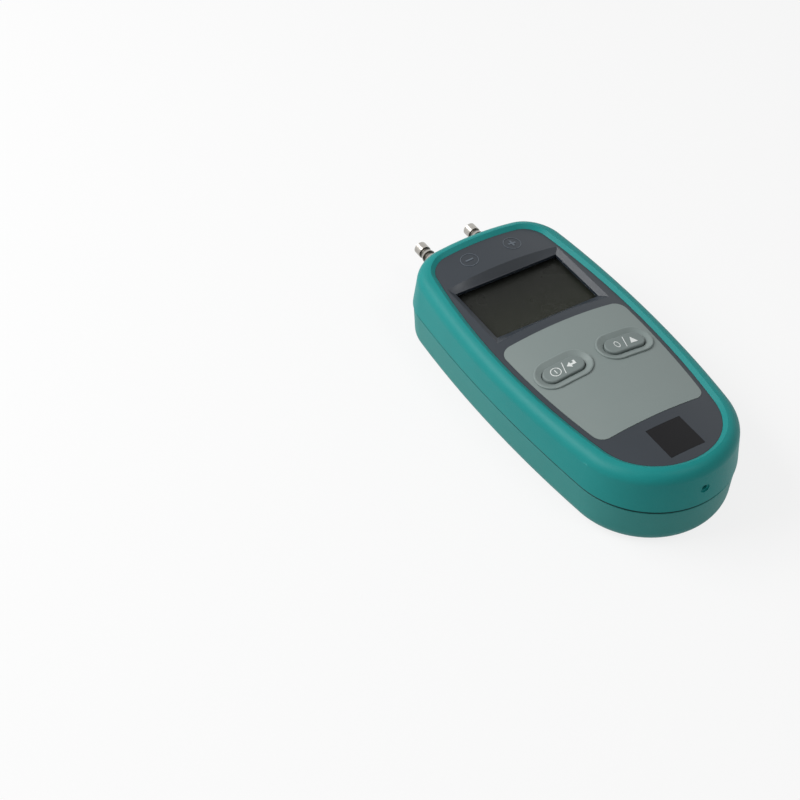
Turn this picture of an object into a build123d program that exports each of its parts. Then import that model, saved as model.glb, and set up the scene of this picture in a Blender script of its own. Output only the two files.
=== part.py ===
"""Handheld differential manometer with two barbed hose nozzles.

Frame: X across the case, Y along it towards the nozzles, Z up from the rear of the case to the face.
The origin is under the middle of the whole length, on the surface that the case lies on. Millimetres.
"""
import os
from math import asin, atan2, cos, degrees, radians, sin, sqrt, tan

from build123d import *

# Case, from the outside
body_length = 171.0
body_width = 82.4
nozzle_reach = 22.0
case_height = 39.3
parting_gap = 0.7

# Outline of the case where its shells meet, made of tangent arcs
body_end_radius = 37.0
body_corner_radius = 20.0
body_widest_ahead = 21.0
top_radius = 500.0

# Outline of the dark face, in from the case by two margins
face_end_margin = 8.2
face_side_margin = 7.7
face_end_radius = 27.9
face_corner_radius = 10.5
face_widest_ahead = 11.0

# Crown of the face and the raised rim round it
crown_radius = 159.0
rim_rise = 1.5
rim_bevel = 1.9
rim_round = 5.6
rim_width = 6.7

# Walls of the two shells
wall = 2.5
floor = 2.6
rear_inset = 0.3
rear_draft = 3.0
rear_round = 7.0
rear_inner_round = 4.5
lip_chamfer = 0.9
tongue_height = 2.0
tongue_width = 1.1
slip = 0.1

# Dark face plate and its ledge
plate_thickness = 2.2
ledge_width = 2.0
ledge_thickness = 2.0

# Display window, measured at the glass
window_width = 52.8
window_height = 32.7
window_back = 37.3
window_depth = 5.6
window_step = 1.5
slope_top = 2.9
slope_foot = 4.2
slope_side = 2.6
lens_margin = 1.2
lens_thickness = 1.2
well_wall = 1.2

# Keypad panel and its collars
panel_head_gap = 4.75
panel_foot_gap = 5.3
panel_inset = 2.3
panel_corner = 5.0
panel_thickness = 1.0
panel_proud = 0.15
key_spacing = 31.0
key_back = 24.1
key_straight = 10.8
key_radius = 4.3
key_gap = 0.35
key_proud = 0.9
collar_radius = 8.0
collar_rise = 0.9
collar_bevel_depth = 1.25
collar_bevel_width = 2.6
collar_round = 0.4
key_travel = 0.6
key_flange = 1.1
key_flange_thickness = 0.9
key_edge = 0.7
stem_radius = 2.2

# Bare plate at the foot of the face
label_size = 16.6
label_inset = 13.4
label_depth = 0.3

# Board and what holds it
board_thickness = 1.6
board_side_margin = 3.5
board_head_margin = 17.5
board_foot_margin = 19.0
board_corner = 6.0
board_clearance = 1.2
post_radius = 2.6
post_inset = 10.0
post_head_inset = 5.0
post_foot_inset = 11.5
board_screw_radius = 1.1
board_screw_head = 2.1
board_screw_head_height = 1.2
board_screw_length = 6.0

# Display stack
lcd_thickness = 2.8
lcd_margin = 1.2
lcd_clearance = 0.1
lcd_chamfer = 0.5
holder_wall = 1.2
strip_width = 2.0
strip_height = 3.1

# Key switches
switch_size = 6.0
switch_height = 3.6
plunger_radius = 1.7
plunger_rise = 1.6

# Pressure sensor and its tubes
sensor_width = 28.0
sensor_length = 18.0
sensor_height = 9.6
sensor_back = 37.0
port_spacing = 20.0
port_radius = 1.5
port_length = 6.0
port_bore = 0.8
tube_outer = 2.7
tube_straight = 10.5
tube_gap = 0.3
tube_slip = 0.02
tube_bend_share = 0.4
sensor_chamfer = 1.0
controller_size = 12.0
controller_height = 1.6
controller_gap = 8.0
sounder_radius = 6.0
sounder_height = 4.5
sounder_round = 0.8
sounder_port = 1.0
sounder_margin = 13.0

# Hose nozzles
nozzle_spacing = 27.0
barb_radius = 3.25
tip_radius = 3.1
groove_radius = 2.45
neck_radius = 2.9
nozzle_bore = 0.9
flange_radius = 4.6
flange_thickness = 1.8
washer_thickness = 0.8
tail_length = 6.0
tip_length = 4.6
barb_pitch = 3.2
barb_count = 3
barb_slope = 0.7
tip_chamfer = 0.4
neck_shoulder = 3.0
groove_length = 0.9
pad_half_width = 6.5
pad_depth = 2.6

# Battery bay and cover
cell_radius = 7.2
cell_length = 49.2
cap_radius = 2.7
cap_length = 1.2
bay_clearance = 0.5
bay_wall = 1.5
bay_margin = 20.1
contact_space = 2.2
contact_thickness = 0.4
contact_width = 7.0
contact_tail = 2.4
contact_height = 4.8
contact_seat = 0.3
contact_clearance = 0.02
cell_round = 0.6
cover_ledge = 1.8
cover_thickness = 1.8
cover_recess = 0.2
cover_tab_length = 10.0
cover_tab_width = 13.0
lug_width = 5.0
lug_reach = 1.2
lug_thickness = 1.0
lug_lift = 0.8
cover_corner = 1.5
lug_spacing = 18.0
cover_boss_height = 9.0

# Fasteners of the case
boss_radius = 3.6
boss_outset = 0.6
front_boss_angle = 45.0
rear_boss_angle = 48.0
screw_radius = 1.5
screw_head_radius = 2.8
screw_head_height = 2.0
screw_grip = 9.0
screw_sink = 7.0
thread_gap = 0.05

# Small moulded hole in the end wall
end_hole_radius = 1.2
end_hole_rim = 2.1
end_hole_rim_depth = 0.5
end_hole_rise = 8.7

# Places along the case that follow from the sizes above
total_length = body_length + nozzle_reach
body_middle = -nozzle_reach / 2
body_end = body_middle - body_length / 2
body_head = body_middle + body_length / 2
face_length = body_length - 2 * face_end_margin
face_width = body_width - 2 * face_side_margin
face_end = body_end + face_end_margin
face_head = body_head - face_end_margin
window_y = face_head - window_back
label_y = face_end + label_inset
panel_head = window_y - window_height / 2 - slope_foot - panel_head_gap
panel_foot = label_y + label_size / 2 + panel_foot_gap
key_y = panel_head - key_back
board_head = body_head - board_head_margin
board_end = body_end + board_foot_margin
sensor_y = board_head - sensor_back
controller_y = sensor_y - sensor_length / 2 - controller_gap - controller_size / 2

# Heights: the display stands on the board, and under it the sensor's ports, the nozzles and the parting
# share one level
lens_top = case_height - window_depth
lens_foot = lens_top - lens_thickness
lcd_top = lens_foot - lcd_clearance
lcd_foot = lcd_top - lcd_thickness
board_top = lcd_foot - strip_height
board_foot = board_top - board_thickness
parting_height = board_foot - sensor_height / 2

crown_centre = case_height - crown_radius
case_half_width = body_width / 2
crown_span = 2.5 * case_half_width
sky = case_height + 2 * rim_rise
far = 2 * body_length


def meeting_point(first, first_radius, second, second_radius):
    """Right-hand point where two circles in the plan meet."""
    gap = Vector(*second) - Vector(*first)
    along = (first_radius**2 - second_radius**2 + gap.length**2) / (2 * gap.length)
    aside = sqrt(first_radius**2 - along**2)
    foot = Vector(*first) + gap.normalized() * along
    across = gap.normalized().rotate(Axis.Z, 90) * aside
    return max(tuple(foot + across), tuple(foot - across))[:2]


def bearing(start, end):
    """Direction from one plan point to another, in degrees."""
    return degrees(atan2(end[1] - start[1], end[0] - start[0]))


class Outline:
    """Plan outline of tangent arcs: a round end, long sides, two corners and a nearly straight top."""

    def __init__(self, length, width, end_radius, corner_radius, widest_ahead):
        self.end_radius = end_radius
        self.corner_radius = corner_radius
        self.end_centre = (0.0, body_middle - length / 2 + end_radius)
        self.top_centre = (0.0, body_middle + length / 2 - top_radius)
        widest_y = body_middle + widest_ahead
        run = widest_y - self.end_centre[1]
        half = width / 2
        self.side_radius = (half**2 - end_radius**2 + run**2) / (2 * (half - end_radius))
        self.side_centre = (half - self.side_radius, widest_y)
        side_reach = self.side_radius - corner_radius
        top_reach = top_radius - corner_radius
        self.corner_centre = meeting_point(self.side_centre, side_reach, self.top_centre, top_reach)

    def face(self, grow):
        """The outline as one face in the sketch, grown outward by grow."""
        side_start = bearing(self.side_centre, self.end_centre)
        side_end = bearing(self.side_centre, self.corner_centre)
        corner_end = bearing(self.top_centre, self.corner_centre)
        with BuildLine() as outline:
            CenterArc(self.end_centre, self.end_radius + grow, -90, side_start + 90)
            CenterArc(self.side_centre, self.side_radius + grow, side_start, side_end - side_start)
            CenterArc(self.corner_centre, self.corner_radius + grow, side_end, corner_end - side_end)
            CenterArc(self.top_centre, top_radius + grow, corner_end, 90 - corner_end)
            mirror(about=Plane.YZ)
        make_face(outline.edges())


face_outline = Outline(face_length, face_width, face_end_radius, face_corner_radius, face_widest_ahead)
body_outline = Outline(body_length, body_width, body_end_radius, body_corner_radius, body_widest_ahead)


def under_crown(rise):
    """Everything below the crowned face, with its surface moved up by rise."""
    radius = crown_radius + rise
    half_angle = degrees(asin(crown_span / 2 / radius))
    with BuildPart() as region:
        with BuildSketch(Plane.XZ):
            with BuildLine():
                arc = CenterArc((0, crown_centre), radius, 90 - half_angle, 2 * half_angle)
                right = arc @ 0
                left = arc @ 1
                Polyline(left, (left.X, -case_height), (right.X, -case_height), right)
            make_face()
        extrude(amount=body_length, both=True)
    return region.part


def crown_z(x, rise=0.0):
    """Height of the crowned face at x, moved up by rise."""
    return crown_centre + sqrt((crown_radius + rise) ** 2 - x**2)


def prism(outline, grow, low, high):
    """Upright block between two heights, on an outline grown by grow."""
    with BuildPart() as block:
        with BuildSketch(Plane.XY.offset(low)):
            outline.face(grow)
        extrude(amount=high - low)
    return block.part


def upper_body(inset, low):
    """Upper half of the case as a block that narrows to the rim, inset by a wall."""
    with BuildPart() as block:
        with BuildSketch(Plane.XY.offset(low)):
            body_outline.face(-inset)
        with BuildSketch(Plane.XY.offset(sky)):
            face_outline.face(rim_width - inset)
        loft(ruled=True)
    return block.part


os.makedirs("parts", exist_ok=True)

# Solids that the shells, the plate and the panel are cut with
face_solid = under_crown(0)
plate_underside = under_crown(-plate_thickness)
ledge_underside = under_crown(-plate_thickness - ledge_thickness)
cavity_grow = -rear_inset - wall
front_seat = parting_height + parting_gap

# Bosses stand in the four corners of the cavity, under the ledge of the face plate
boss_places = []
for centre, radius, turn in (
    (face_outline.corner_centre, face_corner_radius, radians(front_boss_angle)),
    (face_outline.end_centre, face_end_radius, -radians(rear_boss_angle)),
):
    aside = centre[0] + (radius + boss_outset) * cos(turn)
    along = centre[1] + (radius + boss_outset) * sin(turn)
    boss_places += [(-aside, along), (aside, along)]

# The end hole is sunk in the sloping end wall
end_hole_z = parting_height + end_hole_rise
end_hole_share = (end_hole_z - front_seat) / (sky - front_seat)
end_hole_y = body_end + end_hole_share * (face_end - rim_width - body_end)

# Nozzles are clamped where the shells meet
nozzle_x = (-nozzle_spacing / 2, nozzle_spacing / 2)
pad_face = body_head - rear_inset - wall - pad_depth

UPRIGHT = (Align.CENTER, Align.CENTER, Align.MIN)
HANGING = (Align.CENTER, Align.CENTER, Align.MAX)
AHEAD = (Align.CENTER, Align.MIN, Align.CENTER)
BEHIND = (Align.CENTER, Align.MAX, Align.CENTER)
tongue_top = parting_height + tongue_height
downward = Plane(origin=(0, 0, parting_height), x_dir=(-1, 0, 0), z_dir=(0, 0, -1))

# Battery bay
bay_width = 4 * cell_radius + 2 * bay_clearance
bay_length = cell_length + cap_length + 2 * contact_space
bay_foot = body_end + bay_margin
bay_head = bay_foot + bay_length
bay_middle = (bay_foot + bay_head) / 2
cell_axis = cover_recess + cover_thickness + bay_clearance + cell_radius
bay_roof = cell_axis + cell_radius + bay_clearance
cell_places = (-cell_radius - slip, cell_radius + slip)
lug_places = (-lug_spacing / 2, lug_spacing / 2)
cover_screw_y = bay_head + bay_wall + boss_radius


def cover_blank(grow, height):
    """Battery cover with its screw tab, grown by grow, from the rest plane up."""
    with BuildPart() as blank:
        with BuildSketch() as blank_plan:
            with Locations((0, bay_middle)):
                Rectangle(bay_width + 2 * (cover_ledge + grow), bay_length + 2 * (cover_ledge + grow))
            with Locations((0, bay_head)):
                Rectangle(cover_tab_width + 2 * grow, 2 * (cover_tab_length + grow))
            fillet(blank_plan.vertices(), cover_corner)
        extrude(amount=height)
    return blank.part


# Hollows of the two shells
front_cavity = upper_body(wall, parting_height) & ledge_underside

with BuildPart() as rear_cavity:
    with BuildSketch(downward):
        body_outline.face(cavity_grow)
    extrude(amount=parting_height - floor, taper=rear_draft)
    fillet(rear_cavity.faces().sort_by(Axis.Z)[0].edges(), rear_inner_round)


# Display well
lens_width = window_width + 2 * lens_margin
lens_height = window_height + 2 * lens_margin


def well_block(grow, foot):
    """Block round the display well and its lens, grown by grow, from a height called foot up."""
    with BuildPart() as block:
        with BuildSketch(Plane.XY.offset(foot)):
            with Locations((0, window_y)):
                Rectangle(lens_width + 2 * (well_wall + grow), lens_height + 2 * (well_wall + grow))
        extrude(amount=sky - foot)
        add(under_crown(-plate_thickness / 2), mode=Mode.INTERSECT)
    return block.part


# Pads inside the top wall give the nozzle flanges a flat seat, and both shells share them
with BuildPart() as nozzle_pads:
    with Locations(*[(x, pad_face, parting_height) for x in nozzle_x]):
        Box(2 * pad_half_width, 2 * wall + pad_depth, 2 * pad_half_width, align=AHEAD)
    add(prism(body_outline, -wall / 2, 0, sky), mode=Mode.INTERSECT)

with BuildPart() as nozzle_holes:
    with Locations(*[Plane(origin=(x, pad_face - slip, parting_height), z_dir=(0, 1, 0)) for x in nozzle_x]):
        Cylinder(neck_radius + slip, 4 * wall + pad_depth, align=UPRIGHT)

front_half = Pos(0, 0, front_seat) * Box(far, far, far, align=UPRIGHT)
rear_half = Pos(0, 0, parting_height) * Box(far, far, far, align=HANGING)

with BuildPart() as front_bosses:
    with Locations(*[(x, y, front_seat) for x, y in boss_places]):
        Cylinder(boss_radius, sky - front_seat, align=UPRIGHT)
    add(under_crown(-plate_thickness - slip), mode=Mode.INTERSECT)
    add(upper_body(wall / 2, front_seat), mode=Mode.INTERSECT)

# Teal upper shell: drafted wall, crowned rim, ledge for the face plate and hollow inside
with BuildPart() as front_shell:
    add(upper_body(0, front_seat) & under_crown(rim_rise))
    fillet(front_shell.faces().sort_by(Axis.Z)[-1].outer_wire().edges(), rim_round)
    add(prism(face_outline, 0, front_seat, sky) - plate_underside, mode=Mode.SUBTRACT)
    rim_crest = front_shell.faces().sort_by(Axis.Z)[-1]
    chamfer(rim_crest.inner_wires()[0].edges(), rim_bevel, rim_rise, reference=rim_crest)
    add(prism(face_outline, -ledge_width, parting_height, sky), mode=Mode.SUBTRACT)
    add(front_cavity, mode=Mode.SUBTRACT)
    add(front_bosses.part)
    add(well_block(slip, board_top), mode=Mode.SUBTRACT)
    add(nozzle_pads.part & front_half)
    with Locations(*[(x, y, front_seat) for x, y in boss_places]):
        Cylinder(screw_radius + thread_gap, screw_grip, align=UPRIGHT, mode=Mode.SUBTRACT)
    groove = prism(body_outline, cavity_grow + tongue_width + slip, parting_height, tongue_top + slip)
    add(groove, mode=Mode.SUBTRACT)
    add(nozzle_holes.part, mode=Mode.SUBTRACT)
    with Locations(Plane(origin=(0, end_hole_y, end_hole_z), z_dir=(0, 1, 0))):
        Cylinder(end_hole_radius, 2 * rim_width, mode=Mode.SUBTRACT)
        Cylinder(end_hole_rim, 2 * end_hole_rim_depth, mode=Mode.SUBTRACT)
front_shell.part.label = "front_shell"
export_step(front_shell.part, "parts/front_shell.step")

# Teal lower shell: tapered wall, rounded foot, tongue, battery bay, bosses and nozzle pads
with BuildPart() as rear_blank:
    with BuildSketch(downward):
        body_outline.face(-rear_inset)
    extrude(amount=parting_height, taper=rear_draft)
    fillet(rear_blank.faces().sort_by(Axis.Z)[0].edges(), rear_round)
    chamfer(rear_blank.faces().sort_by(Axis.Z)[-1].edges(), lip_chamfer)

with BuildPart() as rear_bosses:
    with Locations(*[(x, y, 0) for x, y in boss_places]):
        Cylinder(boss_radius, parting_height, align=UPRIGHT)
    with Locations((0, cover_screw_y, 0)):
        Cylinder(boss_radius, cover_boss_height, align=UPRIGHT)

with BuildPart() as rear_shell:
    add(rear_blank.part)
    add(prism(body_outline, cavity_grow + tongue_width, parting_height - lip_chamfer, tongue_top))
    add(prism(body_outline, cavity_grow, parting_height - lip_chamfer, tongue_top + slip), mode=Mode.SUBTRACT)
    add(rear_cavity.part, mode=Mode.SUBTRACT)
    with BuildSketch(Plane.XY.offset(floor / 2)):
        with Locations((0, bay_middle)):
            Rectangle(bay_width + 2 * bay_wall, bay_length + 2 * bay_wall)
    extrude(amount=bay_roof + bay_wall - floor / 2)
    add(rear_bosses.part & rear_blank.part)
    add(nozzle_pads.part & rear_half)
    with BuildSketch():
        with Locations((0, bay_middle)):
            Rectangle(bay_width, bay_length)
    extrude(amount=bay_roof, mode=Mode.SUBTRACT)
    add(cover_blank(slip, cover_recess + cover_thickness + slip), mode=Mode.SUBTRACT)
    with Locations(*[(x, bay_foot, cover_recess + cover_thickness) for x in lug_places]):
        lug_slot = 2 * (lug_reach + slip)
        Box(lug_width + 2 * slip, lug_slot, 2 * lug_thickness, align=UPRIGHT, mode=Mode.SUBTRACT)
    with Locations(*[(x, bay_foot, bay_roof - bay_wall) for x in cell_places]):
        tail_slot = 2 * (contact_seat + contact_thickness)
        Box(contact_tail + 4 * slip, tail_slot, 3 * bay_wall, align=UPRIGHT, mode=Mode.SUBTRACT)
    with Locations(*[(x, y, 0) for x, y in boss_places]):
        Cylinder(screw_radius + slip, front_seat, align=UPRIGHT, mode=Mode.SUBTRACT)
        Cylinder(screw_head_radius + 2 * slip, screw_sink, align=UPRIGHT, mode=Mode.SUBTRACT)
    with Locations((0, cover_screw_y, 0)):
        Cylinder(screw_radius + thread_gap, 2 * cover_boss_height, align=UPRIGHT, mode=Mode.SUBTRACT)
    add(nozzle_holes.part, mode=Mode.SUBTRACT)
rear_shell.part.label = "rear_shell"
export_step(rear_shell.part, "parts/rear_shell.step")

# Dark crowned face plate with the display well, the keypad seat and posts for the board
key_places = [(-key_spacing / 2, key_y), (key_spacing / 2, key_y)]
panel_y = (panel_head + panel_foot) / 2
board_width = face_width - 2 * board_side_margin
board_y = (board_head + board_end) / 2
post_x = board_width / 2 - post_inset
post_y = (board_head - post_head_inset, board_end + post_foot_inset)
post_places = [(x, y) for x in (-post_x, post_x) for y in post_y]
panel_seat = under_crown(panel_proud - panel_thickness)
label_seat = under_crown(-label_depth)


def key_prism(radius, low, high):
    """Upright round-ended blocks at both keys."""
    with BuildPart() as block:
        with BuildSketch(Plane.XY.offset(low)):
            with Locations(*key_places):
                SlotCenterToCenter(key_straight, 2 * radius)
        extrude(amount=high - low)
    return block.part


def panel_blank(grow):
    """Tall block with the plan of the keypad panel, grown by grow."""
    with BuildPart() as blank:
        with BuildSketch(Plane.XY.offset(board_top)) as plan:
            face_outline.face(grow - panel_inset)
            with Locations((0, panel_y)):
                Rectangle(face_width, panel_head - panel_foot + 2 * grow, mode=Mode.INTERSECT)
            corners = plan.vertices().sort_by(Axis.Y)
            fillet(corners[:2] + corners[-2:], panel_corner + grow)
        extrude(amount=sky - board_top)
    return blank.part


def label_blank(grow):
    """Tall square block over the place of the label."""
    with BuildPart() as blank:
        with BuildSketch(Plane.XY.offset(board_top)):
            with Locations((0, label_y)):
                Rectangle(label_size + 2 * grow, label_size + 2 * grow)
        extrude(amount=sky - board_top)
    return blank.part


# The well is where two troughs cross, so its slopes meet in mitred corners on the crown
slope_foot_z = lens_top + window_step
trough_sections = 5
well_half = window_width / 2 + slope_side
well_low = window_y - window_height / 2
well_high = window_y + window_height / 2

with BuildPart() as cross_trough:
    for step in range(trough_sections):
        x = well_half * (2 * step / (trough_sections - 1) - 1)
        with BuildSketch(Plane(origin=(x, 0, 0), x_dir=(0, 1, 0), z_dir=(1, 0, 0))):
            with BuildLine():
                Polyline(
                    (well_low - slope_foot, crown_z(x)),
                    (well_low, slope_foot_z),
                    (well_high, slope_foot_z),
                    (well_high + slope_top, crown_z(x)),
                    (well_high + slope_top, sky),
                    (well_low - slope_foot, sky),
                    close=True,
                )
            make_face()
    loft()

with BuildPart() as window_well:
    with BuildSketch(Plane.XZ):
        with BuildLine():
            Polyline(
                (-well_half, crown_z(well_half)),
                (-window_width / 2, slope_foot_z),
                (window_width / 2, slope_foot_z),
                (well_half, crown_z(well_half)),
                (well_half, sky),
                (-well_half, sky),
                close=True,
            )
        make_face()
    extrude(amount=body_length, both=True)
    add(cross_trough.part, mode=Mode.INTERSECT)
    with BuildSketch(Plane.XY.offset(lens_foot)):
        with Locations((0, window_y)):
            Rectangle(window_width, window_height)
    extrude(amount=lens_thickness + window_step)
    with BuildSketch(Plane.XY.offset(lens_foot)):
        with Locations((0, window_y)):
            Rectangle(lens_width, lens_height)
    extrude(amount=lens_thickness)

with BuildPart() as face_plate:
    add(prism(face_outline, -slip, parting_height, sky) & face_solid)
    add(plate_underside, mode=Mode.SUBTRACT)
    add(well_block(0, lens_foot))
    with Locations(*[(x, y, board_top) for x, y in post_places]):
        Cylinder(post_radius, crown_z(post_x) - board_top - plate_thickness / 2, align=UPRIGHT)
    add(window_well.part, mode=Mode.SUBTRACT)
    add(panel_blank(slip) - panel_seat, mode=Mode.SUBTRACT)
    add(label_blank(slip) - label_seat, mode=Mode.SUBTRACT)
    add(key_prism(key_radius + key_gap, board_top, sky), mode=Mode.SUBTRACT)
    with Locations(*[(x, y, board_top) for x, y in post_places]):
        Cylinder(board_screw_radius + thread_gap, board_screw_length, align=UPRIGHT, mode=Mode.SUBTRACT)
face_plate.part.label = "face_plate"
export_step(face_plate.part, "parts/face_plate.step")

# Bare square label, flush with the crown
label_plate = label_blank(0) & face_solid
label_plate -= label_seat
label_plate.label = "label_plate"
export_step(label_plate, "parts/label_plate.step")

# Grey keypad panel with a raised collar round each key
with BuildPart() as keypad_panel:
    add(panel_blank(0) & under_crown(panel_proud))
    add(panel_seat, mode=Mode.SUBTRACT)
    add(key_prism(collar_radius, board_top, sky) & under_crown(collar_rise) - panel_seat)
    add(key_prism(key_radius + key_gap, board_top, sky), mode=Mode.SUBTRACT)
    for crest in keypad_panel.faces().filter_by(lambda face: len(face.inner_wires()) == 1):
        chamfer(crest.inner_wires()[0].edges(), collar_bevel_width, collar_bevel_depth, reference=crest)
    for crest in keypad_panel.faces().filter_by(lambda face: len(face.inner_wires()) == 1):
        fillet(crest.outer_wire().edges(), collar_round)
keypad_panel.part.label = "keypad_panel"
export_step(keypad_panel.part, "parts/keypad_panel.step")

# Keys: a cap through the panel, a flange that stops it under the plate and a stem to the switch
switch_top = board_top + switch_height
plunger_top = switch_top + plunger_rise
flange_top = under_crown(-plate_thickness - slip)
flange_foot = under_crown(-plate_thickness - slip - key_flange_thickness)
key_flanges = key_prism(key_radius + key_flange, board_top, sky) & flange_top
key_flanges -= flange_foot
half_box = Box(key_spacing - slip, face_width, 2 * sky)
for key_name, (key_x, _) in zip(("power_button", "zero_button"), key_places):
    with BuildPart() as key:
        with BuildSketch(Plane.XY.offset(board_top)):
            with Locations((key_x, key_y)):
                SlotCenterToCenter(key_straight, 2 * key_radius)
        extrude(amount=sky - board_top)
        add(under_crown(key_proud), mode=Mode.INTERSECT)
        fillet(key.faces().sort_by(Axis.Z)[-1].edges(), key_edge)
        add(flange_foot, mode=Mode.SUBTRACT)
        add(key_flanges & (Pos(key_x, key_y, 0) * half_box))
        with Locations((key_x, key_y, plunger_top)):
            Cylinder(stem_radius, crown_z(key_x) - plate_thickness - plunger_top, align=UPRIGHT)
    key.part.label = key_name
    export_step(key.part, f"parts/{key_name}.step")

# Clear lens, glued into the foot of the well
with BuildPart() as window_lens:
    with BuildSketch(Plane.XY.offset(lens_foot)):
        with Locations((0, window_y)):
            Rectangle(lens_width - 2 * slip, lens_height - 2 * slip)
    extrude(amount=lens_thickness)
window_lens.part.label = "window_lens"
export_step(window_lens.part, "parts/window_lens.step")

# Display glass in its holder, on two contact strips that stand on the board
lcd_width = window_width + 2 * lcd_margin
lcd_height = window_height + 2 * lcd_margin
strip_reach = (lcd_height - strip_width) / 2 - slip

with BuildPart() as lcd_glass:
    with BuildSketch(Plane.XY.offset(lcd_foot)):
        with Locations((0, window_y)):
            Rectangle(lcd_width, lcd_height)
    extrude(amount=lcd_thickness)
    chamfer(lcd_glass.edges().filter_by(Axis.Z), lcd_chamfer)
lcd_glass.part.label = "lcd_glass"
export_step(lcd_glass.part, "parts/lcd_glass.step")

with BuildPart() as lcd_holder:
    with BuildSketch(Plane.XY.offset(board_top)):
        with Locations((0, window_y)):
            Rectangle(lcd_width + 2 * (slip + holder_wall), lcd_height + 2 * (slip + holder_wall))
            Rectangle(lcd_width + 2 * slip, lcd_height + 2 * slip, mode=Mode.SUBTRACT)
    extrude(amount=lcd_top - board_top)
lcd_holder.part.label = "lcd_holder"
export_step(lcd_holder.part, "parts/lcd_holder.step")

with BuildPart() as contact_strips:
    with Locations((0, window_y - strip_reach, board_top), (0, window_y + strip_reach, board_top)):
        Box(window_width, strip_width, strip_height, align=UPRIGHT)
contact_strips.part.label = "contact_strips"
export_step(contact_strips.part, "parts/contact_strips.step")

# Main board, hung from the posts of the face plate
with BuildPart() as main_board:
    with BuildSketch(Plane.XY.offset(board_foot)):
        body_outline.face(-wall - board_clearance)
        with Locations((0, board_y)):
            RectangleRounded(board_width, board_head - board_end, board_corner, mode=Mode.INTERSECT)
        with Locations(*post_places):
            Circle(board_screw_radius + slip, mode=Mode.SUBTRACT)
    extrude(amount=board_thickness)
main_board.part.label = "main_board"
export_step(main_board.part, "parts/main_board.step")

with BuildPart() as board_screws:
    with Locations(*[(x, y, board_foot) for x, y in post_places]):
        Cylinder(board_screw_radius, board_screw_length, align=UPRIGHT)
        Cylinder(board_screw_head, board_screw_head_height, align=HANGING)
board_screws.part.label = "board_screws"
export_step(board_screws.part, "parts/board_screws.step")

# Key switches: a housing on the board and a plunger that travels with each key
plunger_room = plunger_rise + key_travel
with BuildPart() as switch_housings:
    with Locations(*[(x, y, board_top) for x, y in key_places]):
        Box(switch_size, switch_size, switch_height, align=UPRIGHT)
    chamfer(switch_housings.faces().group_by(Axis.Z)[-1].edges(), slip)
    with Locations(*[(x, y, switch_top) for x, y in key_places]):
        Cylinder(plunger_radius + slip, 2 * plunger_room, mode=Mode.SUBTRACT)
switch_housings.part.label = "switch_housings"
export_step(switch_housings.part, "parts/switch_housings.step")

for plunger_name, (key_x, _) in zip(("power_plunger", "zero_plunger"), key_places):
    with BuildPart() as plunger:
        with Locations((key_x, key_y, plunger_top)):
            Cylinder(plunger_radius, 2 * plunger_rise, align=HANGING)
    plunger.part.label = plunger_name
    export_step(plunger.part, f"parts/{plunger_name}.step")

# Controller and sounder under the board
with BuildPart() as controller:
    with Locations((0, controller_y, board_foot)):
        Box(controller_size, controller_size, controller_height, align=HANGING)
    chamfer(controller.faces().sort_by(Axis.Z)[0].edges(), slip)
controller.part.label = "controller"
export_step(controller.part, "parts/controller.step")

sounder_x = sounder_margin - board_width / 2
with BuildPart() as sounder:
    with Locations((sounder_x, controller_y, board_foot)):
        Cylinder(sounder_radius, sounder_height, align=HANGING)
    fillet(sounder.faces().sort_by(Axis.Z)[0].edges(), sounder_round)
    with Locations((sounder_x, controller_y, board_foot - sounder_height)):
        Cylinder(sounder_port, sounder_height, mode=Mode.SUBTRACT)
sounder.part.label = "sounder"
export_step(sounder.part, "parts/sounder.step")

# Two-port pressure sensor under the board, level with the nozzles
sensor_front = sensor_y + sensor_length / 2
port_x = (-port_spacing / 2, port_spacing / 2)
port_tip = sensor_front + port_length

with BuildPart() as pressure_sensor:
    with Locations((0, sensor_y, board_foot)):
        Box(sensor_width, sensor_length, sensor_height, align=HANGING)
    chamfer(pressure_sensor.edges().filter_by(Axis.Z), sensor_chamfer)
    with Locations(*[Plane(origin=(x, sensor_front, parting_height), z_dir=(0, 1, 0)) for x in port_x]):
        Cylinder(port_radius, port_length, align=UPRIGHT)
        Cylinder(port_bore, 2 * port_length, mode=Mode.SUBTRACT)
pressure_sensor.part.label = "pressure_sensor"
export_step(pressure_sensor.part, "parts/pressure_sensor.step")

# Hose nozzles, turned in one piece: tip collar, barbs, neck, flange and inner tail
nozzle_tip = total_length / 2
flange_face = pad_face - washer_thickness
tail_foot = flange_face - flange_thickness - tail_length


def nozzle_profile(bore):
    """Half section of a nozzle as points, aside from its axis and along the case."""
    points = [(bore, nozzle_tip), (tip_radius - tip_chamfer, nozzle_tip)]
    points += [(tip_radius, nozzle_tip - tip_chamfer), (tip_radius, nozzle_tip - tip_length)]
    ridge = nozzle_tip - tip_length
    for _ in range(barb_count):
        points += [(groove_radius, ridge), (groove_radius, ridge - groove_length)]
        points += [(barb_radius - barb_slope, ridge - groove_length), (barb_radius, ridge - barb_pitch)]
        ridge -= barb_pitch
    points += [(groove_radius, ridge), (groove_radius, body_head + neck_shoulder)]
    points += [(neck_radius, body_head + neck_shoulder), (neck_radius, flange_face)]
    points += [(flange_radius, flange_face), (flange_radius, flange_face - flange_thickness)]
    points += [(port_radius, flange_face - flange_thickness), (port_radius, tail_foot), (bore, tail_foot)]
    return points


for nozzle_name, nozzle_side in zip(("low_nozzle", "high_nozzle"), nozzle_x):
    with BuildPart() as nozzle:
        with BuildSketch(Plane(origin=(nozzle_side, 0, parting_height), x_dir=(1, 0, 0), z_dir=(0, 0, 1))):
            with BuildLine():
                Polyline(nozzle_profile(nozzle_bore), close=True)
            make_face()
        revolve(axis=Axis((nozzle_side, 0, parting_height), (0, 1, 0)))
    nozzle.part.label = nozzle_name
    export_step(nozzle.part, f"parts/{nozzle_name}.step")

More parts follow.
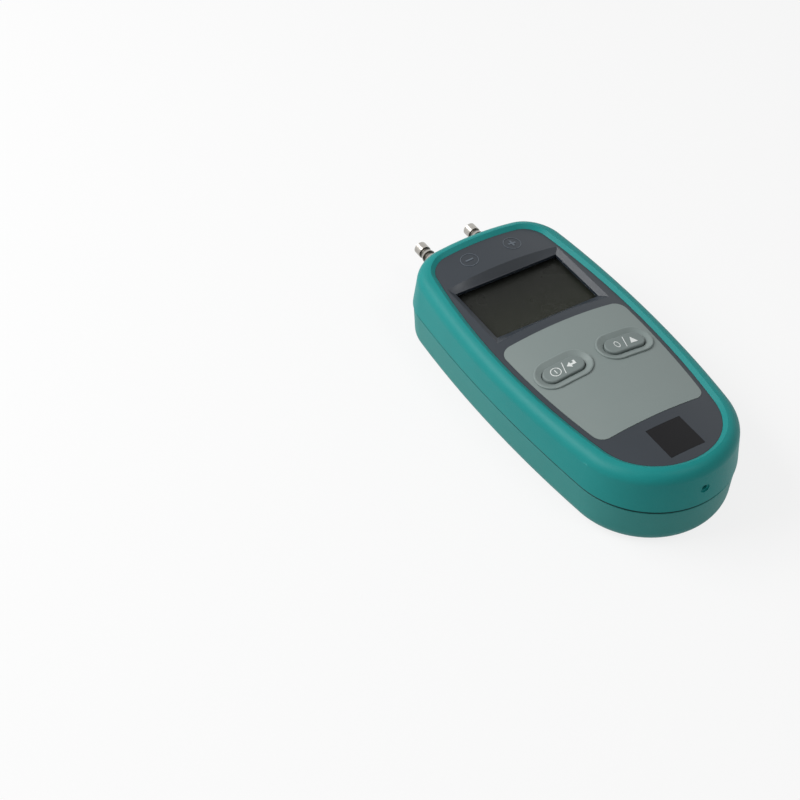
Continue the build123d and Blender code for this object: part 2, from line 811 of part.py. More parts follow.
with BuildPart() as nozzle_washers:
    with Locations(*[Plane(origin=(x, flange_face, parting_height), z_dir=(0, 1, 0)) for x in nozzle_x]):
        Cylinder(flange_radius, washer_thickness, align=UPRIGHT)
        Cylinder(neck_radius + slip, 4 * washer_thickness, mode=Mode.SUBTRACT)
nozzle_washers.part.label = "nozzle_washers"
export_step(nozzle_washers.part, "parts/nozzle_washers.step")

# Soft tubes from the nozzle tails to the sensor ports
tube_head = flange_face - flange_thickness - tube_gap
tube_foot = sensor_front + tube_gap
for tube_name, head_x, foot_x in zip(("low_tube", "high_tube"), nozzle_x, port_x):
    with BuildPart() as tube:
        with BuildLine() as route:
            head_turn = (head_x, tube_head - tube_straight, parting_height)
            foot_turn = (foot_x, tube_foot + tube_straight, parting_height)
            lean = (Vector(*head_turn) - Vector(*foot_turn)).get_angle(Vector(0, 1, 0))
            bend = tube_bend_share * tube_straight / tan(radians(lean / 2))
            head = (head_x, tube_head, parting_height)
            foot = (foot_x, tube_foot, parting_height)
            FilletPolyline(head, head_turn, foot_turn, foot, radius=bend)
        with BuildSketch(Plane(origin=(head_x, tube_head, parting_height), z_dir=(0, -1, 0))):
            Circle(tube_outer)
            Circle(port_radius + tube_slip, mode=Mode.SUBTRACT)
        sweep()
    print(tube_name, "bend radius", round(bend, 1))
    tube.part.label = tube_name
    export_step(tube.part, f"parts/{tube_name}.step")

# Two battery cells side by side, head to tail
cell_foot = bay_foot + contact_space
with BuildPart() as battery_cells:
    for cell_x, flip in zip(cell_places, (1, -1)):
        middle = Plane(origin=(cell_x, bay_middle - flip * cap_length / 2, cell_axis), z_dir=(0, flip, 0))
        with Locations(middle):
            Cylinder(cell_radius, cell_length)
            Cylinder(cap_radius, cell_length / 2 + cap_length, align=UPRIGHT)
    fillet(battery_cells.edges().filter_by(GeomType.CIRCLE).group_by(SortBy.RADIUS)[-1], cell_round)
battery_cells.part.label = "battery_cells"
export_step(battery_cells.part, "parts/battery_cells.step")


def leaf(wall_y, inward, width, x, tail_top):
    """Bent strip contact: flat on the bay wall, hooked at the foot, sprung against a cell end."""
    seat = contact_seat
    apex = contact_space - contact_thickness / 2 - contact_clearance
    path = [(seat, contact_height), (seat, -contact_height), (apex / 2, -contact_height - apex / 3)]
    path += [(apex, 0), (apex / 2, contact_height / 2)]
    with BuildPart() as strip:
        with BuildSketch(Plane(origin=(x, wall_y, cell_axis), x_dir=(0, inward, 0), z_dir=(inward, 0, 0))):
            with BuildLine():
                Polyline(path)
            trace(line_width=contact_thickness)
        extrude(amount=width / 2, both=True)
        if tail_top:
            with Locations((x, wall_y + inward * seat, cell_axis)):
                Box(contact_tail, contact_thickness, tail_top - cell_axis, align=UPRIGHT)
    return strip.part


terminal_contacts = Compound(
    children=[leaf(bay_foot, 1, contact_width, x, board_foot) for x in cell_places]
)
terminal_contacts.label = "terminal_contacts"
export_step(terminal_contacts, "parts/terminal_contacts.step")

bridge_contact = leaf(bay_head, -1, 2 * cell_radius + contact_width, 0, 0)
bridge_contact.label = "bridge_contact"
export_step(bridge_contact, "parts/bridge_contact.step")

# Battery cover, held by two lugs at its foot and one screw at its tab
with BuildPart() as battery_cover:
    add(cover_blank(0, cover_recess + cover_thickness))
    add(prism(body_outline, 0, 0, cover_recess), mode=Mode.SUBTRACT)
    with Locations(*[(x, bay_foot, cover_recess + cover_thickness) for x in lug_places]):
        Box(lug_width, 2 * lug_reach, lug_thickness + lug_lift, align=UPRIGHT)
        Box(lug_width, 2 * lug_reach, 2 * lug_lift, align=BEHIND, mode=Mode.SUBTRACT)
    with Locations((0, cover_screw_y, 0)):
        Cylinder(screw_radius + slip, floor, align=UPRIGHT, mode=Mode.SUBTRACT)
        head_room = cover_recess + screw_head_height / 2
        Cylinder(screw_head_radius + slip, head_room, align=UPRIGHT, mode=Mode.SUBTRACT)
battery_cover.part.label = "battery_cover"
export_step(battery_cover.part, "parts/battery_cover.step")

with BuildPart() as cover_screw:
    with Locations((0, cover_screw_y, cover_recess)):
        Cylinder(screw_head_radius, screw_head_height / 2, align=UPRIGHT)
        Cylinder(screw_radius, cover_boss_height - 2 * cover_recess, align=UPRIGHT)
cover_screw.part.label = "cover_screw"
export_step(cover_screw.part, "parts/cover_screw.step")

# Case screws, sunk in the rear shell and threaded into the bosses of the front shell
with BuildPart() as case_screws:
    with Locations(*[(x, y, screw_sink) for x, y in boss_places]):
        Cylinder(screw_head_radius, screw_head_height, align=HANGING)
        Cylinder(screw_radius, front_seat + screw_grip - slip - screw_sink, align=UPRIGHT)
    with Locations(*[(x, y, screw_sink - screw_head_height) for x, y in boss_places]):
        Cylinder(screw_radius / 2, screw_head_height, mode=Mode.SUBTRACT)
case_screws.part.label = "case_screws"
export_step(case_screws.part, "parts/case_screws.step")
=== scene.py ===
"""Looks of a handheld differential manometer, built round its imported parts. Metres, in the parts' own frame:
X across the case, Y along it towards the nozzles, Z up from the rear of the case to the face."""
import math

import bmesh
import bpy
from mathutils import Matrix, Vector


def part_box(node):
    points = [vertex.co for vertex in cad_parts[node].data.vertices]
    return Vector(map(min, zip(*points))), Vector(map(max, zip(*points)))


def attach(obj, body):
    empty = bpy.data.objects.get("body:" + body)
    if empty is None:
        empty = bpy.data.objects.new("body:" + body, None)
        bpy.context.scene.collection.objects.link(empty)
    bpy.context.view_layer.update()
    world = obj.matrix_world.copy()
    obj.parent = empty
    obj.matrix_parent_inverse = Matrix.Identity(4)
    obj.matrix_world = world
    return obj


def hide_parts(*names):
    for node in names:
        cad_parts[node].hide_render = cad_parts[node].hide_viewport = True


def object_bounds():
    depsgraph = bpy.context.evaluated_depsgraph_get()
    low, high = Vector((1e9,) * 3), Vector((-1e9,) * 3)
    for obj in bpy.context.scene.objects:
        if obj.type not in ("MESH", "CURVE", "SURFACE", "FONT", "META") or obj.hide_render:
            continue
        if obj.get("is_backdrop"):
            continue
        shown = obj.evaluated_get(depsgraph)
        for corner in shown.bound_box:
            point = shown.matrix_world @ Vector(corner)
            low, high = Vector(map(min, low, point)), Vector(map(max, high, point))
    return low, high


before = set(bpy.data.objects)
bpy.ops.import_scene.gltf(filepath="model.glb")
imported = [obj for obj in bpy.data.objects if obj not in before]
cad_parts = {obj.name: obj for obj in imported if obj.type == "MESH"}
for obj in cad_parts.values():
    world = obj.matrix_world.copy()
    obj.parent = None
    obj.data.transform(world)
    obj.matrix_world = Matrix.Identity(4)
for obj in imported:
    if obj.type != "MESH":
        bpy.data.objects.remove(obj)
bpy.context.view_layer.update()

mm = 0.001

# Places that follow from the parts. The shells meet level with the nozzles
display_low, display_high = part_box("lcd_glass")
nozzle_low, nozzle_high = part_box("high_nozzle")
nozzle_x = (nozzle_low.x + nozzle_high.x) / 2
nozzle_z = (nozzle_low.z + nozzle_high.z) / 2

# The face is part of a cylinder along the case, and the keys stand proud of it
crown_radius = 159 * mm
crown_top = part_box("face_plate")[1].z
key_proud = 0.9 * mm


def crown_z(x, rise):
    """Height of the crowned face at x, moved up by rise."""
    return crown_top - crown_radius + math.sqrt((crown_radius + rise) ** 2 - x**2)


class Value:
    """A socket in a node tree on which plain arithmetic adds Math nodes."""

    def __init__(self, shading, socket):
        self.shading = shading
        self.socket = socket

    def _math(self, operation, *values):
        return self.shading.node("ShaderNodeMath", {"operation": operation}, dict(enumerate(values)))

    def __add__(self, other):
        return self._math("ADD", self, other)

    def __radd__(self, other):
        return self._math("ADD", other, self)

    def __sub__(self, other):
        return self._math("SUBTRACT", self, other)

    def __rsub__(self, other):
        return self._math("SUBTRACT", other, self)

    def __mul__(self, other):
        return self._math("MULTIPLY", self, other)

    def __rmul__(self, other):
        return self._math("MULTIPLY", other, self)

    def __truediv__(self, other):
        return self._math("DIVIDE", self, other)

    def __abs__(self):
        return self._math("ABSOLUTE", self)

    def root(self):
        """Square root of the value."""
        return self._math("SQRT", self)

    def ramp(self, low, high):
        """0 at low and under it, 1 at high and over it, and a straight ramp between them."""
        sockets = {0: (self - low) / (high - low), 1: 0.0, 2: 1.0}
        return self.shading.node("ShaderNodeClamp", {}, sockets)


class Shading:
    """A node tree, and the one method through which its nodes come."""

    def __init__(self, owner):
        owner.use_nodes = True
        self.tree = owner.node_tree
        self.tree.nodes.clear()

    def node(self, kind, settings, sockets, output=0):
        """Adds a node: its settings first, then the values or links of its sockets. Gives one output."""
        made = self.tree.nodes.new(kind)
        for key, value in settings.items():
            setattr(made, key, value)
        for key, value in sockets.items():
            self.feed(made.inputs[key], value)
        if not made.outputs:
            return None
        return Value(self, made.outputs[output])

    def feed(self, socket, value):
        """Links or sets one socket. A colour of three numbers gets its fourth."""
        if isinstance(value, Value):
            self.tree.links.new(value.socket, socket)
        elif isinstance(value, tuple) and len(value) < len(socket.default_value):
            socket.default_value = (*value, 1.0)
        else:
            socket.default_value = value


class Finish(Shading):
    """A material with a Principled shader, whose patterns read Object coordinates."""

    def __init__(self, name, **sockets):
        self.material = bpy.data.materials.new(name)
        super().__init__(self.material)
        self.place = self.node("ShaderNodeTexCoord", {}, {}, "Object")
        self.shader = self.node("ShaderNodeBsdfPrincipled", {}, {})
        self.set(**sockets)

    def done(self, surface=None):
        """The finished material, whose surface is its Principled shader unless another is given."""
        self.node("ShaderNodeOutputMaterial", {}, {"Surface": surface or self.shader})
        return self.material

    def set(self, **sockets):
        """Sets or links sockets of the Principled shader, named with underscores."""
        for key, value in sockets.items():
            self.feed(self.shader.socket.node.inputs[key.replace("_", " ")], value)

    def axis(self, letter):
        """The object's own X, Y or Z."""
        return self.node("ShaderNodeSeparateXYZ", {}, {0: self.place}, letter)

    def noise(self, size, detail=2.0, roughness=0.5, stretch=(1.0, 1.0, 1.0)):
        """Noise from 0 to 1 whose blobs are about size metres, longer along a small stretch."""
        spot = self.node("ShaderNodeMapping", {}, {"Vector": self.place, "Scale": stretch})
        sockets = {"Vector": spot, "Scale": 1 / size, "Detail": detail, "Roughness": roughness}
        return self.node("ShaderNodeTexNoise", {}, sockets)

    def spread(self, value, low, high):
        """A value from 0 to 1 moved to the range low to high."""
        return value * (high - low) + low

    def mix(self, factor, first, second):
        """Mix of two colours."""
        return self.node("ShaderNodeMix", {"data_type": "RGBA"}, {0: factor, 6: first, 7: second}, 2)

    def bump(self, height, depth):
        """Normal of a surface with that height map, whose full range is depth metres deep."""
        return self.node("ShaderNodeBump", {}, {"Strength": 1.0, "Distance": depth, "Height": height})


def colour(red, green, blue):
    """Linear colour of an sRGB colour given from 0 to 255."""
    shares = (red / 255, green / 255, blue / 255)
    return tuple(c / 12.92 if c <= 0.04045 else ((c + 0.055) / 1.055) ** 2.4 for c in shares)


# A moulding's grain lies over clouds of tone, and wider pits lie between its grains
cloud_size = 16 * mm
pit_scale = 3
grain_share = 0.7
rough_spread = 0.06


def moulded(name, tone, pale, grain, depth, rough, gloss, parting_shade=None):
    """Moulded plastic or rubber: a fine spark-eroded grain over faint clouds of tone and gloss.

    A parting shade gives the height over which the lip at the parting is painted dark, as painted shade of the
    gap between the shells, how softly it starts, and its colour.
    """
    finish = Finish(name, Specular_IOR_Level=gloss)
    clouds = finish.noise(cloud_size, detail=3.0)
    fine = finish.noise(grain, detail=2.0, roughness=0.6)
    pits = finish.noise(pit_scale * grain, detail=1.0)
    base = finish.mix(clouds * 0.5 + fine * 0.5, tone, pale)
    if parting_shade:
        # Painted shade: the lip above this height is painted dark where the shells meet
        height, fade, dark = parting_shade
        base = finish.mix(finish.axis("Z").ramp(height, height + fade), base, dark)
    finish.set(Base_Color=base)
    finish.set(Roughness=finish.spread(clouds * 0.5 + fine * 0.5, rough - rough_spread, rough + rough_spread))
    finish.set(Normal=finish.bump(fine * grain_share + pits * (1 - grain_share), depth))
    return finish.done()


# Painted shade: the inner half of the lower lip is painted dark where the shells meet, standing in for the
# shadow in the gap between them
lip_half = 0.72 * mm
parting_shade_fade = 0.08 * mm
parting_shade_tone = colour(6, 52, 51)

upper_finish = moulded(
    "teal upper case", colour(14, 121, 120), colour(32, 137, 134),
    grain=0.42 * mm, depth=0.07 * mm, rough=0.44, gloss=0.16,
)
lower_finish = moulded(
    "teal lower case", colour(34, 119, 116), colour(54, 135, 131),
    grain=0.42 * mm, depth=0.08 * mm, rough=0.5, gloss=0.18,
    parting_shade=(nozzle_z - lip_half, parting_shade_fade, parting_shade_tone),
)
face_finish = moulded(
    "dark moulded face", colour(26, 34, 42), colour(36, 43, 51),
    grain=0.32 * mm, depth=0.018 * mm, rough=0.36, gloss=0.45,
)
panel_finish = moulded(
    "grey keypad panel", colour(118, 129, 127), colour(126, 136, 134),
    grain=0.28 * mm, depth=0.008 * mm, rough=0.42, gloss=0.3,
)
key_finish = moulded(
    "grey elastomer key", colour(106, 116, 115), colour(118, 128, 126),
    grain=0.26 * mm, depth=0.014 * mm, rough=0.5, gloss=0.3,
)
label_finish = moulded(
    "black label film", colour(18, 18, 20), colour(24, 24, 26),
    grain=0.5 * mm, depth=0.002 * mm, rough=0.3, gloss=0.14,
)
print_finish = moulded(
    "white key print", colour(206, 211, 209), colour(220, 223, 221),
    grain=0.2 * mm, depth=0.004 * mm, rough=0.5, gloss=0.3,
)
# Painted highlight: the raised signs are painted paler than the face they are moulded in
sign_highlight_finish = moulded(
    "raised sign with painted highlight", colour(74, 83, 92), colour(86, 94, 102),
    grain=0.2 * mm, depth=0.008 * mm, rough=0.36, gloss=0.4,
)
holder_finish = moulded(
    "white holder", colour(214, 214, 208), colour(226, 226, 220),
    grain=0.3 * mm, depth=0.006 * mm, rough=0.45, gloss=0.4,
)
black_finish = moulded(
    "black moulding", colour(30, 30, 32), colour(40, 40, 42),
    grain=0.3 * mm, depth=0.01 * mm, rough=0.5, gloss=0.4,
)
board_finish = moulded(
    "green solder mask", colour(24, 92, 58), colour(32, 108, 68),
    grain=0.8 * mm, depth=0.006 * mm, rough=0.3, gloss=0.5,
)
strip_finish = moulded(
    "pink elastomer", colour(190, 130, 138), colour(206, 146, 152),
    grain=0.4 * mm, depth=0.008 * mm, rough=0.6, gloss=0.3,
)
rubber_finish = moulded(
    "black rubber", colour(34, 34, 34), colour(46, 46, 46),
    grain=0.3 * mm, depth=0.012 * mm, rough=0.7, gloss=0.3,
)
tube_finish = moulded(
    "silicone tube", colour(214, 212, 200), colour(228, 226, 214),
    grain=0.5 * mm, depth=0.006 * mm, rough=0.4, gloss=0.5,
)
cell_finish = moulded(
    "dark cell sleeve", colour(46, 50, 54), colour(56, 60, 64),
    grain=0.6 * mm, depth=0.004 * mm, rough=0.34, gloss=0.5,
)


def turned_nozzle():
    """Nickel turned on a lathe: fine rings along the length, and painted shade that darkens the grooves of the
    barbs.
    """
    groove_radius = 2.5 * mm
    crest_radius = 3.0 * mm
    finish = Finish("turned nickel", Metallic=1.0)
    rings = finish.noise(0.3 * mm, detail=2.0, stretch=(0.02, 1.0, 0.02))
    wear = finish.noise(2.5 * mm, detail=3.0)
    aside = abs(finish.axis("X")) - nozzle_x
    above = finish.axis("Z") - nozzle_z
    crest = (aside * aside + above * above).root().ramp(groove_radius, crest_radius)
    bright = finish.mix(wear * 0.6 + rings * 0.4, colour(150, 146, 140), colour(196, 193, 187))
    # Painted shade: the grooves of the barbs are painted darker than the crests
    finish.set(Base_Color=finish.mix(crest, colour(96, 92, 86), bright))
    finish.set(Roughness=0.42 - crest * 0.2 + wear * 0.08)
    finish.set(Normal=finish.bump(rings * 0.7 + wear * 0.3, 0.012 * mm))
    return finish.done()


def plated_steel():
    """Zinc plated steel, softly worn."""
    finish = Finish("zinc plated steel", Metallic=1.0)
    wear = finish.noise(1.5 * mm, detail=3.0)
    fine = finish.noise(0.2 * mm, detail=2.0)
    finish.set(Base_Color=finish.mix(wear, colour(150, 152, 154), colour(188, 190, 192)))
    finish.set(Roughness=finish.spread(wear * 0.6 + fine * 0.4, 0.28, 0.44))
    finish.set(Normal=finish.bump(fine, 0.01 * mm))
    return finish.done()


def clear_window():
    """Thin clear window with a faint haze. It has no gloss, whose few rays would speckle the dark display."""
    finish = Finish("clear window", Alpha=0.04, Specular_IOR_Level=0.0)
    haze = finish.noise(9 * mm, detail=2.0)
    finish.set(Base_Color=finish.mix(haze, colour(28, 30, 28), colour(40, 42, 40)))
    finish.set(Roughness=finish.spread(haze, 0.02, 0.08))
    return finish.done()


def unlit_display():
    """Liquid crystal that isn't lit: dark olive, with painted shade that darkens it towards its head, standing
    in for the shadow of its well's wall.
    """
    finish = Finish("unlit display", Specular_IOR_Level=0.15)
    clouds = finish.noise(22 * mm, detail=2.0)
    # Painted shade: the display is painted darker towards its head, as the shadow of the well's wall
    ahead = finish.axis("Y").ramp(display_low.y, display_high.y)
    olive = finish.mix(ahead * 0.85 + clouds * 0.15, colour(44, 46, 38), colour(22, 23, 22))
    finish.set(Base_Color=olive)
    finish.set(Roughness=finish.spread(clouds, 0.24, 0.32))
    return finish.done()


nickel_finish = turned_nozzle()
steel_finish = plated_steel()
window_finish = clear_window()
display_finish = unlit_display()

node_finishes = {
    "front_shell": upper_finish,
    "rear_shell": lower_finish,
    "battery_cover": lower_finish,
    "face_plate": face_finish,
    "keypad_panel": panel_finish,
    "power_button": key_finish,
    "zero_button": key_finish,
    "label_plate": label_finish,
    "window_lens": window_finish,
    "lcd_glass": display_finish,
    "lcd_holder": holder_finish,
    "contact_strips": strip_finish,
    "main_board": board_finish,
    "board_screws": steel_finish,
    "switch_housings": black_finish,
    "power_plunger": black_finish,
    "zero_plunger": black_finish,
    "controller": black_finish,
    "sounder": black_finish,
    "pressure_sensor": black_finish,
    "low_nozzle": nickel_finish,
    "high_nozzle": nickel_finish,
    "nozzle_washers": rubber_finish,
    "low_tube": tube_finish,
    "high_tube": tube_finish,
    "battery_cells": cell_finish,
    "terminal_contacts": steel_finish,
    "bridge_contact": steel_finish,
    "cover_screw": steel_finish,
    "case_screws": steel_finish,
}
for name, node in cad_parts.items():
    node.data.materials.clear()
    node.data.materials.append(node_finishes[name])


def piece(name, mesh, finish, body):
    """A finished piece of the object from a bmesh, riding on a body."""
    bmesh.ops.recalc_face_normals(mesh, faces=mesh.faces)
    data = bpy.data.meshes.new(name)
    mesh.to_mesh(data)
    mesh.free()
    made = bpy.data.objects.new(name, data)
    bpy.context.scene.collection.objects.link(made)
    data.materials.append(finish)
    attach(made, body)
    return made


# Printed signs lie on the crown as thin layers, sunk a little so that no gap shows
print_depth = 0.03 * mm
print_sunk = 0.02 * mm
print_step = 1.2 * mm


def flat_shape(mesh, corners):
    """A flat many-cornered face in the plan."""
    return mesh.faces.new([mesh.verts.new((x, y, 0.0)) for x, y in corners])


def flat_bar(mesh, centre, width, height, lean=0.0):
    """A flat bar in the plan, whose head leans aside by lean."""
    x, y = centre
    foot = x - lean / 2
    head = x + lean / 2
    side = width / 2
    corners = [(foot - side, y - height / 2), (foot + side, y - height / 2)]
    corners += [(head + side, y + height / 2), (head - side, y + height / 2)]
    return flat_shape(mesh, corners)


def flat_ring(mesh, centre, radius, width, narrow=1.0, sides=48):
    """A flat ring in the plan, narrow times as wide as it is high."""
    outer = bmesh.ops.create_circle(mesh, segments=sides, radius=radius + width / 2)["verts"]
    inner = bmesh.ops.create_circle(mesh, segments=sides, radius=radius - width / 2)["verts"]
    edges = list({e for v in outer + inner for e in v.link_edges})
    bmesh.ops.bridge_loops(mesh, edges=edges)
    bmesh.ops.scale(mesh, verts=outer + inner, vec=(narrow, 1.0, 1.0))
    bmesh.ops.translate(mesh, verts=outer + inner, vec=(*centre, 0.0))


def lay_on_crown(mesh, rise):
    """Gives flat shapes their thickness and lays them on the crown, moved up by rise."""
    long_edges = [e for e in mesh.edges if e.calc_length() > print_step]
    bmesh.ops.subdivide_edges(mesh, edges=long_edges, cuts=2)
    made = bmesh.ops.extrude_face_region(mesh, geom=list(mesh.faces))
    raised = {v for v in made["geom"] if isinstance(v, bmesh.types.BMVert)}
    for vert in mesh.verts:
        lift = print_depth if vert in raised else -print_sunk
        vert.co.z = crown_z(vert.co.x, rise) + lift


def key_centre(node):
    """Middle of a key in the plan."""
    low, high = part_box(node)
    return (low.x + high.x) / 2, (low.y + high.y) / 2


sign_offset = 3.9 * mm
slash_height = 6.0 * mm
slash_lean = 1.7 * mm
stroke = 0.34 * mm

# Left key: a switch-on sign and a bent arrow
on_radius = 2.2 * mm
on_bar = 2.2 * mm
arrow_tip = 1.5 * mm
arrow_neck = 3.6 * mm
arrow_end = 6.0 * mm
arrow_half = 1.6 * mm
shaft_half = 0.5 * mm
marks = bmesh.new()
x, y = key_centre("power_button")
flat_bar(marks, (x, y), stroke, slash_height, slash_lean)
flat_ring(marks, (x - sign_offset, y), on_radius, stroke)
flat_bar(marks, (x - sign_offset, y), stroke, on_bar)
arrow = [(arrow_tip, 0.0), (arrow_neck, -arrow_half), (arrow_neck, -shaft_half), (arrow_end, -shaft_half)]
arrow += [(arrow_end, arrow_half), (arrow_end - 2 * shaft_half, arrow_half)]
arrow += [(arrow_end - 2 * shaft_half, shaft_half), (arrow_neck, shaft_half), (arrow_neck, arrow_half)]
flat_shape(marks, [(x + along, y + aside) for along, aside in arrow])
lay_on_crown(marks, key_proud)
piece("power_key_print", marks, print_finish, "power_key")

# Right key: the figure 0 and a triangle that points up
triangle_half = 1.8 * mm
figure_radius = 1.7 * mm
figure_narrow = 0.62
figure_stroke = 1.2 * stroke
marks = bmesh.new()
x, y = key_centre("zero_button")
flat_bar(marks, (x, y), stroke, slash_height, slash_lean)
triangle = [(-triangle_half, -triangle_half), (triangle_half, -triangle_half), (0.0, triangle_half)]
flat_shape(marks, [(x + sign_offset + along, y + aside) for along, aside in triangle])
flat_ring(marks, (x - sign_offset, y), figure_radius, figure_stroke, narrow=figure_narrow)
lay_on_crown(marks, key_proud)
piece("zero_key_print", marks, print_finish, "zero_key")

# Raised signs beside the nozzles: a ring with a minus, and a ring with a plus, painted paler than the face as
# a painted highlight on their raised lines
sign_aside = 11.3 * mm
sign_ahead = 58.2 * mm
sign_radius = 4.0 * mm
sign_stroke = 0.3 * mm
bar_length = 3.8 * mm
bar_width = 0.9 * mm
sign_rise = 0.1 * mm


def raised_sign(name, centre, bars):
    """Raised ring on the face with bars inside, each given by its width and height."""
    sign = bmesh.new()
    flat_ring(sign, centre, sign_radius, sign_stroke)
    for width, height in bars:
        flat_bar(sign, centre, width, height)
    lay_on_crown(sign, sign_rise)
    piece(name, sign, sign_highlight_finish, "case")


raised_sign("low_sign", (-sign_aside, sign_ahead), [(bar_length, bar_width)])
raised_sign("high_sign", (sign_aside, sign_ahead), [(bar_length, bar_width), (bar_width, bar_length)])

# Screws in the rear of the case, with a cross recess in each head
cross_share = 0.62
cross_half_share = 0.15
recess_taper = 0.6
edge_share = 0.08
head_sides = 40


def drawn_on(mesh, edges, lift, share):
    """Extrudes a loop of edges upward by lift and scales it about Z. Gives the new loop."""
    made = bmesh.ops.extrude_edge_only(mesh, edges=edges)["geom"]
    verts = [v for v in made if isinstance(v, bmesh.types.BMVert)]
    bmesh.ops.scale(mesh, verts=verts, vec=(share, share, 1.0))
    bmesh.ops.translate(mesh, verts=verts, vec=(0.0, 0.0, lift))
    return [e for e in made if isinstance(e, bmesh.types.BMEdge)]


def cross_screw(mesh, place, head_radius, head_height, shank_radius, shank_length):
    """Screw that stands on its head at a place, with a cross recess in the head."""
    start = len(mesh.verts)
    edge = edge_share * head_radius
    rim = bmesh.ops.create_circle(mesh, segments=head_sides, radius=head_radius - edge)["verts"]
    rim_edges = list({e for v in rim for e in v.link_edges})
    arm = cross_share * head_radius
    half = cross_half_share * head_radius
    corners = []
    for quarter in range(4):
        turn = Matrix.Rotation(quarter * math.pi / 2, 3, "Z")
        for x, y in ((arm, -half), (arm, half), (half, half)):
            corners.append(turn @ Vector((x, y, 0.0)))
    cross = [mesh.verts.new(corner) for corner in corners]
    cross_edges = [mesh.edges.new((a, b)) for a, b in zip(cross, cross[1:] + cross[:1])]
    bmesh.ops.triangle_fill(mesh, edges=rim_edges + cross_edges, use_beauty=True)
    recess = drawn_on(mesh, cross_edges, head_height / 2, recess_taper)
    bmesh.ops.edgeloop_fill(mesh, edges=recess)
    side = drawn_on(mesh, rim_edges, edge, head_radius / (head_radius - edge))
    side = drawn_on(mesh, side, head_height - edge, 1.0)
    side = drawn_on(mesh, side, 0.0, shank_radius / head_radius)
    side = drawn_on(mesh, side, shank_length, 1.0)
    bmesh.ops.edgeloop_fill(mesh, edges=side)
    mesh.verts.ensure_lookup_table()
    bmesh.ops.translate(mesh, verts=mesh.verts[start:], vec=place)


def screw_box(node, right, ahead):
    """Low and high corners of the one screw of a group that stands on that side and end."""
    spots = [node.matrix_world @ v.co for v in node.data.vertices]
    middle = sum(spots, Vector()) / len(spots)
    own = [s for s in spots if (s.x > middle.x) == right and (s.y > middle.y) == ahead]
    return Vector(map(min, *own)), Vector(map(max, *own))


case_head_height = 2.0 * mm
screw_shank_radius = 1.5 * mm
screws = bmesh.new()
for right in (False, True):
    for ahead in (False, True):
        low, high = screw_box(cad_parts["case_screws"], right, ahead)
        place = ((low.x + high.x) / 2, (low.y + high.y) / 2, low.z)
        length = high.z - low.z - case_head_height
        cross_screw(screws, place, (high.x - low.x) / 2, case_head_height, screw_shank_radius, length)
heads = piece("cross_case_screws", screws, steel_finish, "case")
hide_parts("case_screws")

cover_head_height = 1.0 * mm
low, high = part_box("cover_screw")
place = ((low.x + high.x) / 2, (low.y + high.y) / 2, low.z)
length = high.z - low.z - cover_head_height
screws = bmesh.new()
cross_screw(screws, place, (high.x - low.x) / 2, cover_head_height, screw_shank_radius, length)
heads = piece("cross_cover_screw", screws, steel_finish, "case")
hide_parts("cover_screw")

# Floor, backdrop and light
floor_reach = 4.0
backdrop_share = 0.82
paper_dark = (0.66, 0.66, 0.66)
paper_pale = (0.72, 0.72, 0.72)
pure_white = (1.0, 1.0, 1.0)


def seen_rays(shading):
    """1 for the rays that show the background itself: straight, reflected and through glass."""
    kinds = ("Is Camera Ray", "Is Glossy Ray", "Is Transmission Ray")
    camera, glossy, through = [shading.node("ShaderNodeLightPath", {}, {}, kind) for kind in kinds]
    return (camera + glossy + through).ramp(0.0, 1.0)


def white_paper():
    """White paper that shows white in the picture and keeps the object's shadow."""
    finish = Finish("white paper", Roughness=0.9, Specular_IOR_Level=0.1)
    fibre = finish.noise(1.2 * mm, detail=2.0)
    finish.set(Base_Color=finish.mix(fibre, paper_dark, paper_pale))
    glow = finish.node("ShaderNodeEmission", {}, {"Color": pure_white, "Strength": 1.0})
    share = seen_rays(finish) * backdrop_share
    both = finish.node("ShaderNodeMixShader", {}, {0: share, 1: finish.shader, 2: glow})
    return finish.done(both)


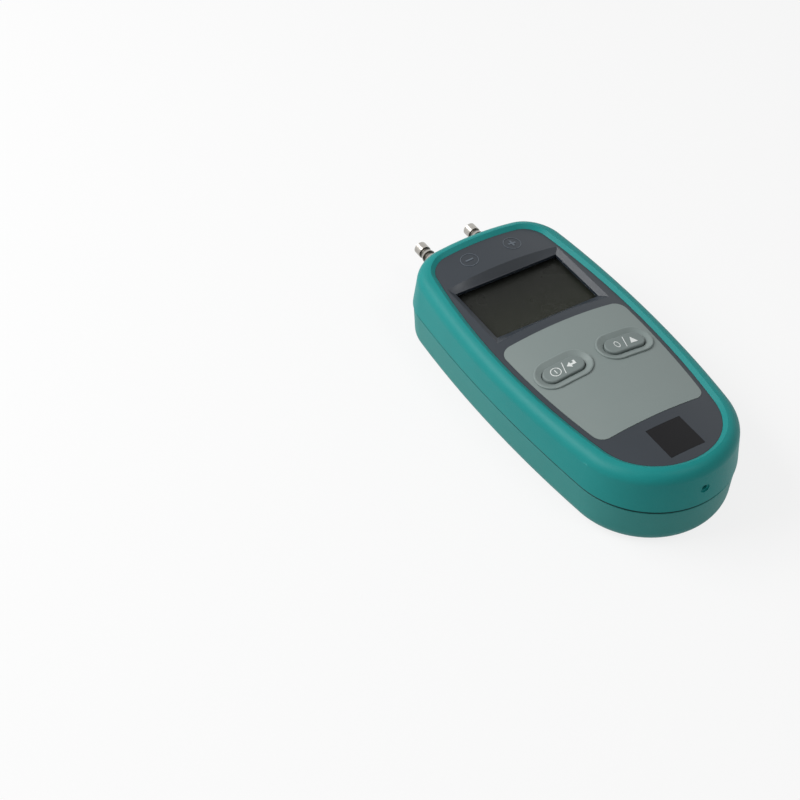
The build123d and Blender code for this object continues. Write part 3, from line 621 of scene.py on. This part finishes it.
ground = bmesh.new()
bmesh.ops.create_grid(ground, x_segments=1, y_segments=1, size=floor_reach)
paper = bpy.data.meshes.new("floor")
ground.to_mesh(paper)
ground.free()
floor = bpy.data.objects.new("floor", paper)
floor.data.materials.append(white_paper())
bpy.context.scene.collection.objects.link(floor)
floor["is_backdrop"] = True

studio_strength = 0.3
studio = bpy.data.worlds.new("studio")
bpy.context.scene.world = studio
sky = Shading(studio)
dim = sky.node("ShaderNodeBackground", {}, {"Color": pure_white, "Strength": studio_strength})
white = sky.node("ShaderNodeBackground", {}, {"Color": pure_white, "Strength": 1.0})
both = sky.node("ShaderNodeMixShader", {}, {0: seen_rays(sky), 1: dim, 2: white})
sky.node("ShaderNodeOutputWorld", {}, {"Surface": both})


def softbox(name, azimuth, elevation, distance, size, power):
    """Square lamp that looks at the object. Azimuth 0 stands on the -Y side, and 90 on the +X side."""
    lamp = bpy.data.lights.new(name, "AREA")
    lamp.size = size
    lamp.energy = power
    made = bpy.data.objects.new(name, lamp)
    aside = math.radians(azimuth)
    up = math.radians(elevation)
    away = Vector((math.sin(aside) * math.cos(up), -math.cos(aside) * math.cos(up), math.sin(up)))
    made.location = away * distance
    made.rotation_euler = away.to_track_quat("Z", "Y").to_euler()
    bpy.context.scene.collection.objects.link(made)


softbox("key_light", azimuth=-115, elevation=42, distance=1.1, size=0.6, power=8.2)
softbox("side_light", azimuth=-146, elevation=43, distance=1.0, size=0.35, power=2.8)
softbox("front_light", azimuth=18, elevation=58, distance=1.1, size=0.3, power=1.6)

# Camera, matched to the photograph's view and frame. Angles are in radians, and the aim is in its pixels
photo_side = 800
focal_pixels = 1602.0
view_azimuth = -0.538159
view_elevation = 0.784051
view_distance = 0.680107
aim_x = 560.692
aim_y = 321.039
aim_ahead = 4.0 * mm
view = bpy.data.cameras.new("camera")
view.sensor_width = 36.0
view.lens = focal_pixels * view.sensor_width / photo_side
view.clip_start = 0.01
view.clip_end = 20.0
camera = bpy.data.objects.new("camera", view)
bpy.context.scene.collection.objects.link(camera)
camera.rotation_euler = (math.pi / 2 - view_elevation, 0.0, view_azimuth)
turn = camera.rotation_euler.to_matrix()
shift_x = (aim_x - photo_side / 2) / focal_pixels * view_distance
shift_y = (photo_side / 2 - aim_y) / focal_pixels * view_distance
aim = Vector((shift_x, shift_y, -view_distance))
camera.location = Vector((0.0, aim_ahead, crown_top)) - turn @ aim
bpy.context.scene.camera = camera
bpy.context.scene.view_settings.view_transform = "Standard"

low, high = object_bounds()
